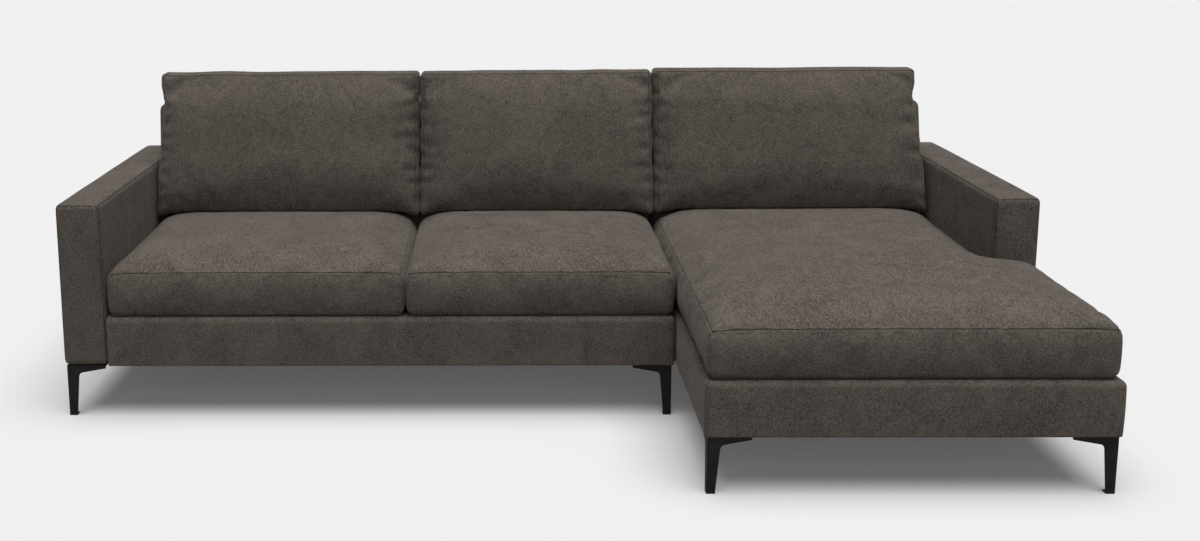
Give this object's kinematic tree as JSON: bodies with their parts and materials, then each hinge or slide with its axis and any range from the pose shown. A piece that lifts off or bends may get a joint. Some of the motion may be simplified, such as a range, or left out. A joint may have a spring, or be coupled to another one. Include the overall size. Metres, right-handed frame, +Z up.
{
  "type": "sectional sofa with chaise",
  "caption": "Sectional sofa with a chaise at one end, track arms, loose boxed cushions in dark taupe suede-like fabric, and slim black metal blade legs.",
  "frame": {"origin": "on the floor, under the centre of the whole sofa's bounding box", "axes": "+X to the viewer's right, along the sofa, towards the chaise; +Y to the back; +Z up"},
  "size_m": [2.76, 1.58, 0.9116],
  "materials": {
    "suede_fabric": "brushed suede-like upholstery fabric, warm dark taupe, fine nap",
    "deck_fabric": "plain woven decking cloth, dark",
    "dust_cloth": "black spun-bonded dust cloth",
    "filling": "foam and fibre filling, off white",
    "timber": "sawn hardwood and plywood",
    "spring_steel": "oiled spring steel",
    "leg_metal": "satin black powder coat",
    "screw_steel": "zinc plated",
    "glide_plastic": "black nylon"
  },
  "bodies": {
    "loveseat": {"loveseat_arm_cover": "suede_fabric", "loveseat_arm_frame": "timber", "loveseat_arm_padding": "filling", "loveseat_back_cover": "suede_fabric", "loveseat_back_frame": "timber", "loveseat_back_padding": "filling", "loveseat_base_cover": "suede_fabric", "loveseat_connector_plates": "leg_metal", "loveseat_corner_blocks": "timber", "loveseat_dust_cover": "dust_cloth", "loveseat_front_rail": "timber", "loveseat_leg_front_left": "leg_metal", "loveseat_leg_front_right": "leg_metal", "loveseat_leg_glides": "glide_plastic", "loveseat_leg_rear_left": "leg_metal", "loveseat_leg_rear_right": "leg_metal", "loveseat_leg_screws": "screw_steel", "loveseat_rear_rail": "timber", "loveseat_seat_deck": "deck_fabric", "loveseat_seat_springs": "spring_steel", "loveseat_side_rails": "timber", "loveseat_spring_clips": "spring_steel", "loveseat_stretchers": "timber"},
    "chaise": {"chaise_arm_cover": "suede_fabric", "chaise_arm_frame": "timber", "chaise_arm_padding": "filling", "chaise_back_cover": "suede_fabric", "chaise_back_frame": "timber", "chaise_back_padding": "filling", "chaise_base_cover": "suede_fabric", "chaise_connector_sockets": "leg_metal", "chaise_corner_blocks": "timber", "chaise_dust_cover": "dust_cloth", "chaise_extension_rails": "timber", "chaise_front_rail": "timber", "chaise_leg_front_left": "leg_metal", "chaise_leg_front_right": "leg_metal", "chaise_leg_glides": "glide_plastic", "chaise_leg_rear_left": "leg_metal", "chaise_leg_rear_right": "leg_metal", "chaise_leg_screws": "screw_steel", "chaise_rear_rail": "timber", "chaise_seat_deck": "deck_fabric", "chaise_seat_springs": "spring_steel", "chaise_side_rails": "timber", "chaise_spring_clips": "spring_steel", "chaise_stretchers": "timber"},
    "left_seat_cushion": {"left_seat_cushion_core": "filling", "left_seat_cushion_cover": "suede_fabric"},
    "middle_seat_cushion": {"middle_seat_cushion_core": "filling", "middle_seat_cushion_cover": "suede_fabric"},
    "chaise_cushion": {"chaise_cushion_core": "filling", "chaise_cushion_cover": "suede_fabric"},
    "left_back_cushion": {"left_back_cushion_core": "filling", "left_back_cushion_cover": "suede_fabric"},
    "middle_back_cushion": {"middle_back_cushion_core": "filling", "middle_back_cushion_cover": "suede_fabric"},
    "right_back_cushion": {"right_back_cushion_core": "filling", "right_back_cushion_cover": "suede_fabric"}
  },
  "joints": [
    {"name": "chaise_lift_off", "type": "slide", "parent": "loveseat", "child": "chaise", "axis": [0, 0, 1], "range_m": [0, 0.08]},
    {"name": "left_seat_cushion_pull", "type": "slide", "parent": "loveseat", "child": "left_seat_cushion", "axis": [0, -1, 0], "range_m": [0, 0.7]},
    {"name": "middle_seat_cushion_pull", "type": "slide", "parent": "loveseat", "child": "middle_seat_cushion", "axis": [0, -1, 0], "range_m": [0, 0.7]},
    {"name": "chaise_cushion_pull", "type": "slide", "parent": "chaise", "child": "chaise_cushion", "axis": [0, -1, 0], "range_m": [0, 0.8]},
    {"name": "left_back_cushion_lift", "type": "slide", "parent": "loveseat", "child": "left_back_cushion", "axis": [0, 0, 1], "range_m": [0, 0.5]},
    {"name": "middle_back_cushion_lift", "type": "slide", "parent": "loveseat", "child": "middle_back_cushion", "axis": [0, 0, 1], "range_m": [0, 0.5]},
    {"name": "right_back_cushion_lift", "type": "slide", "parent": "chaise", "child": "right_back_cushion", "axis": [0, 0, 1], "range_m": [0, 0.5]}
  ]
}
